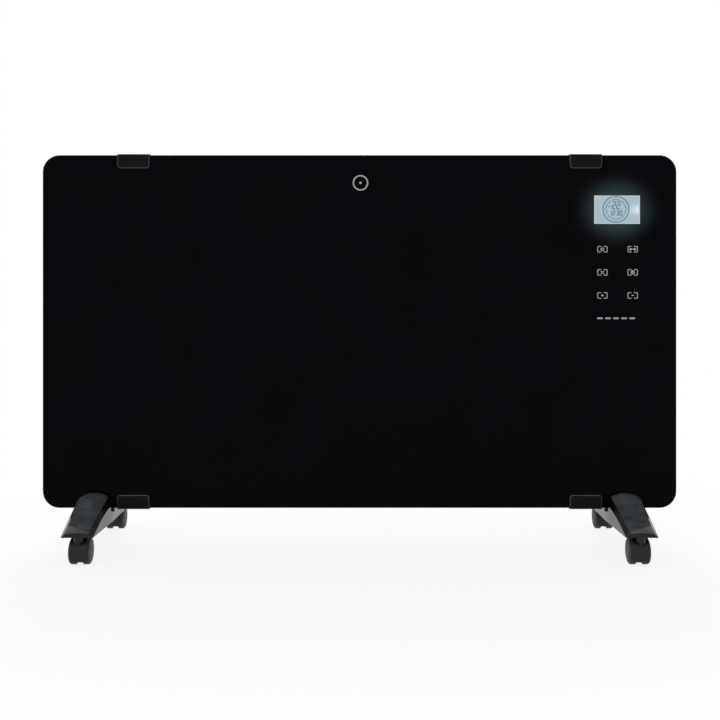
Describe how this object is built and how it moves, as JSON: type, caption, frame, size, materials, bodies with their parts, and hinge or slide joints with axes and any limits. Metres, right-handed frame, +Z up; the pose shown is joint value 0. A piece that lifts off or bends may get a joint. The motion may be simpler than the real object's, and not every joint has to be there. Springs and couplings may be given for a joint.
{
  "type": "convector heater",
  "caption": "Free-standing convector heater with a black glass front, a slim steel casing, a lit display with touch marks, and two feet on twin-wheel castors.",
  "frame": {"origin": "on the floor, under the middle of the whole heater", "axes": "+Z up, +X to the right when the glass is looked at from the front, +Y from the glass to the back"},
  "size_m": [0.83, 0.2318, 0.5195],
  "materials": {
    "glass": "back-painted tempered glass, polished",
    "clip_plastic": "moulded, satin",
    "pad_rubber": "closed-cell rubber",
    "screw_steel": "black oxide",
    "casing_paint": "powder coat, fine texture",
    "cap_plastic": "moulded, fine spark-eroded texture",
    "grille_plastic": "moulded, satin",
    "zinc_sheet": "zinc coated",
    "element_aluminium": "extruded, mill finish",
    "ceramic": "unglazed",
    "switch_plastic": "moulded, satin",
    "rocker_plastic": "moulded, gloss",
    "gland_plastic": "moulded, satin",
    "board": "solder mask",
    "white_plastic": "moulded, satin",
    "sensor_epoxy": "dipped",
    "box_plastic": "moulded, satin",
    "display": "lit liquid crystal cell",
    "light_guide": "clear acrylic",
    "spring_steel": "bright",
    "wire_silicone": "silicone sleeve",
    "castor_nylon": "moulded, satin",
    "wheel_nylon": "moulded, satin",
    "foot_plastic": "moulded, high gloss",
    "base_plastic": "moulded, satin",
    "stem_steel": "zinc plated"
  },
  "bodies": {
    "heater": {"glass_panel": "glass", "clip_top_left": "clip_plastic", "clip_top_right": "clip_plastic", "clip_bottom_left": "clip_plastic", "clip_bottom_right": "clip_plastic", "clip_pads": "pad_rubber", "clip_screws": "screw_steel", "rear_casing": "casing_paint", "end_cap_left": "cap_plastic", "end_cap_right": "cap_plastic", "casing_screws": "screw_steel", "top_grille": "grille_plastic", "bottom_grille": "grille_plastic", "front_heat_shield": "zinc_sheet", "heating_element_left": "element_aluminium", "heating_element_right": "element_aluminium", "element_insulators": "ceramic", "element_brackets": "zinc_sheet", "switch_housing": "switch_plastic", "cable_gland": "gland_plastic", "power_board": "board", "terminal_block": "white_plastic", "tilt_switch": "white_plastic", "thermal_cutout": "zinc_sheet", "temperature_sensor": "sensor_epoxy", "control_box": "box_plastic", "display_module": "display", "display_backlight": "light_guide", "touch_board": "board", "touch_springs": "spring_steel", "wiring_harness": "wire_silicone", "foot_screws": "screw_steel", "foot_left": "foot_plastic", "foot_right": "foot_plastic", "foot_base_left": "base_plastic", "foot_base_right": "base_plastic", "castor_sockets": "castor_nylon", "castor_front_left_stem": "stem_steel", "castor_front_right_stem": "stem_steel", "castor_rear_left_stem": "stem_steel", "castor_rear_right_stem": "stem_steel"},
    "switch_rocker": {"switch_rocker": "rocker_plastic"},
    "castor_front_left": {"castor_front_left_body": "castor_nylon", "castor_front_left_axle": "stem_steel"},
    "castor_front_left_inner_wheel": {"castor_front_left_wheel_inner": "wheel_nylon"},
    "castor_front_left_outer_wheel": {"castor_front_left_wheel_outer": "wheel_nylon"},
    "castor_front_right": {"castor_front_right_body": "castor_nylon", "castor_front_right_axle": "stem_steel"},
    "castor_front_right_inner_wheel": {"castor_front_right_wheel_inner": "wheel_nylon"},
    "castor_front_right_outer_wheel": {"castor_front_right_wheel_outer": "wheel_nylon"},
    "castor_rear_left": {"castor_rear_left_body": "castor_nylon", "castor_rear_left_axle": "stem_steel"},
    "castor_rear_left_inner_wheel": {"castor_rear_left_wheel_inner": "wheel_nylon"},
    "castor_rear_left_outer_wheel": {"castor_rear_left_wheel_outer": "wheel_nylon"},
    "castor_rear_right": {"castor_rear_right_body": "castor_nylon", "castor_rear_right_axle": "stem_steel"},
    "castor_rear_right_inner_wheel": {"castor_rear_right_wheel_inner": "wheel_nylon"},
    "castor_rear_right_outer_wheel": {"castor_rear_right_wheel_outer": "wheel_nylon"}
  },
  "joints": [
    {"name": "castor_front_left_swivel", "type": "hinge", "parent": "heater", "child": "castor_front_left", "pos_m": [-0.3465, -0.10944, 0.02], "axis": [0, 0, 1], "continuous": true},
    {"name": "castor_front_left_inner_wheel_spin", "type": "hinge", "parent": "castor_front_left", "child": "castor_front_left_inner_wheel", "pos_m": [-0.3465, -0.09544, 0.0165], "axis": [1, 0, 0], "continuous": true},
    {"name": "castor_front_left_outer_wheel_spin", "type": "hinge", "parent": "castor_front_left", "child": "castor_front_left_outer_wheel", "pos_m": [-0.3465, -0.09544, 0.0165], "axis": [1, 0, 0], "continuous": true},
    {"name": "castor_front_right_swivel", "type": "hinge", "parent": "heater", "child": "castor_front_right", "pos_m": [0.3465, -0.10944, 0.02], "axis": [0, 0, 1], "continuous": true},
    {"name": "castor_front_right_inner_wheel_spin", "type": "hinge", "parent": "castor_front_right", "child": "castor_front_right_inner_wheel", "pos_m": [0.3465, -0.09544, 0.0165], "axis": [1, 0, 0], "continuous": true},
    {"name": "castor_front_right_outer_wheel_spin", "type": "hinge", "parent": "castor_front_right", "child": "castor_front_right_outer_wheel", "pos_m": [0.3465, -0.09544, 0.0165], "axis": [1, 0, 0], "continuous": true},
    {"name": "castor_rear_left_swivel", "type": "hinge", "parent": "heater", "child": "castor_rear_left", "pos_m": [-0.3465, 0.08357, 0.02], "axis": [0, 0, 1], "continuous": true},
    {"name": "castor_rear_left_inner_wheel_spin", "type": "hinge", "parent": "castor_rear_left", "child": "castor_rear_left_inner_wheel", "pos_m": [-0.3465, 0.09756, 0.0165], "axis": [1, 0, 0], "continuous": true},
    {"name": "castor_rear_left_outer_wheel_spin", "type": "hinge", "parent": "castor_rear_left", "child": "castor_rear_left_outer_wheel", "pos_m": [-0.3465, 0.09756, 0.0165], "axis": [1, 0, 0], "continuous": true},
    {"name": "castor_rear_right_swivel", "type": "hinge", "parent": "heater", "child": "castor_rear_right", "pos_m": [0.3465, 0.08357, 0.02], "axis": [0, 0, 1], "continuous": true},
    {"name": "castor_rear_right_inner_wheel_spin", "type": "hinge", "parent": "castor_rear_right", "child": "castor_rear_right_inner_wheel", "pos_m": [0.3465, 0.09756, 0.0165], "axis": [1, 0, 0], "continuous": true},
    {"name": "castor_rear_right_outer_wheel_spin", "type": "hinge", "parent": "castor_rear_right", "child": "castor_rear_right_outer_wheel", "pos_m": [0.3465, 0.09756, 0.0165], "axis": [1, 0, 0], "continuous": true},
    {"name": "switch_rocker_tip", "type": "hinge", "parent": "heater", "child": "switch_rocker", "pos_m": [0.385, 0.00707, 0.1729], "axis": [0, 1, 0], "range_deg": [0, 16]}
  ]
}
